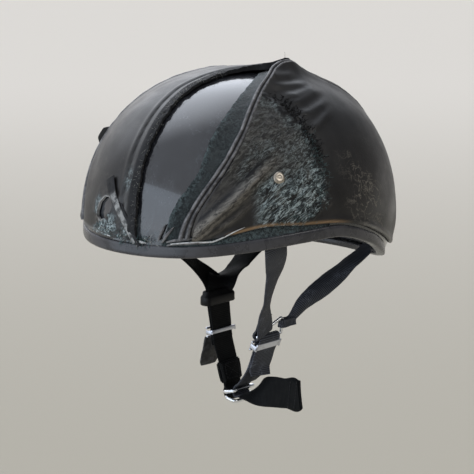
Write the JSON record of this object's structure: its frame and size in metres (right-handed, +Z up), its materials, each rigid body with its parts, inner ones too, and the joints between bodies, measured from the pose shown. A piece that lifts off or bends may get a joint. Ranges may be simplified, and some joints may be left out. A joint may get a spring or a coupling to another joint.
{
  "type": "riding helmet",
  "caption": "Half-shell riding helmet with a torn leather cover over a glossy shell, foam liner, edge trim and a riveted Y-strap harness closed by double D-rings.",
  "frame": {"origin": "centre of the head opening, at the level where the dome is widest", "axes": "+Z up through the crown, -Y towards the forehead, +X towards the wearer's left"},
  "size_m": [0.2288, 0.2804, 0.2778],
  "materials": {
    "shell": "high gloss black",
    "foam": "matt black moulded bead foam",
    "trim": "satin moulded edge bead",
    "cover": "satin dark brown-black leather, scuffed",
    "welt": "worn grey-black piping",
    "felt": "dark teal felt, frayed",
    "pad": "black brushed lining over soft foam",
    "webbing": "black woven webbing",
    "webbing_worn": "greyed woven webbing",
    "steel": "bright plated steel",
    "slide": "plated pressed steel",
    "rivet": "tarnished pale domed rivet",
    "divider": "black moulded divider",
    "flap": "grey-black leathercloth"
  },
  "bodies": {
    "helmet": {"outer_shell": "shell", "impact_liner": "foam", "edge_trim": "trim", "left_cover_panel": "cover", "right_cover_panel": "cover", "centre_cover_panel": "cover", "left_seam_welt": "welt", "right_seam_welt": "welt", "cover_backing": "felt", "crown_pad": "pad", "brow_pad": "pad", "left_side_pad": "pad", "right_side_pad": "pad", "nape_pad": "pad", "rivet_washers": "steel", "left_front_strap": "webbing_worn", "left_rear_strap": "webbing_worn", "right_front_strap": "webbing", "right_rear_strap": "webbing", "right_divider": "divider", "left_front_rivet": "rivet", "right_front_rivet": "rivet", "left_rear_rivet": "rivet", "right_rear_rivet": "rivet"},
    "chin_loop": {"left_triangle_ring": "steel", "left_front_strap_loop": "webbing_worn", "left_rear_strap_loop": "webbing_worn", "left_chin_strap": "webbing_worn", "right_slide": "slide", "right_strap_loop": "webbing", "right_chin_strap": "webbing", "right_sewn_block": "webbing"},
    "adjuster": {"left_adjuster": "slide"},
    "upper_ring": {"upper_d_ring": "steel"},
    "lower_ring": {"lower_d_ring": "steel"},
    "tail": {"chin_strap_tail": "webbing"},
    "flap": {"snap_flap": "flap", "snap_socket": "steel"}
  },
  "joints": [
    {"name": "chin_loop_swing", "type": "hinge", "parent": "helmet", "child": "chin_loop", "pos_m": [0, -0.004, -0.1], "axis": [1, 0, 0], "range_deg": [-25, 25]},
    {"name": "adjuster_slide", "type": "slide", "parent": "chin_loop", "child": "adjuster", "axis": [-0.3775, 0, -0.926], "range_m": [0, 0.01]},
    {"name": "upper_ring_tilt", "type": "hinge", "parent": "chin_loop", "child": "upper_ring", "pos_m": [-0.012, -0.004, -0.1515], "axis": [0, 1, 0], "range_deg": [-2, 4]},
    {"name": "lower_ring_tilt", "type": "hinge", "parent": "chin_loop", "child": "lower_ring", "pos_m": [-0.01, -0.004, -0.1553], "axis": [0, 1, 0], "range_deg": [-4, 4]},
    {"name": "tail_swing", "type": "hinge", "parent": "chin_loop", "child": "tail", "pos_m": [0.0024, -0.004, -0.1524], "axis": [0, 1, 0], "range_deg": [-10, 25]},
    {"name": "flap_swing", "type": "hinge", "parent": "chin_loop", "child": "flap", "pos_m": [-0.0286, -0.004, -0.1064], "axis": [0, 1, 0], "range_deg": [0, 40]}
  ]
}
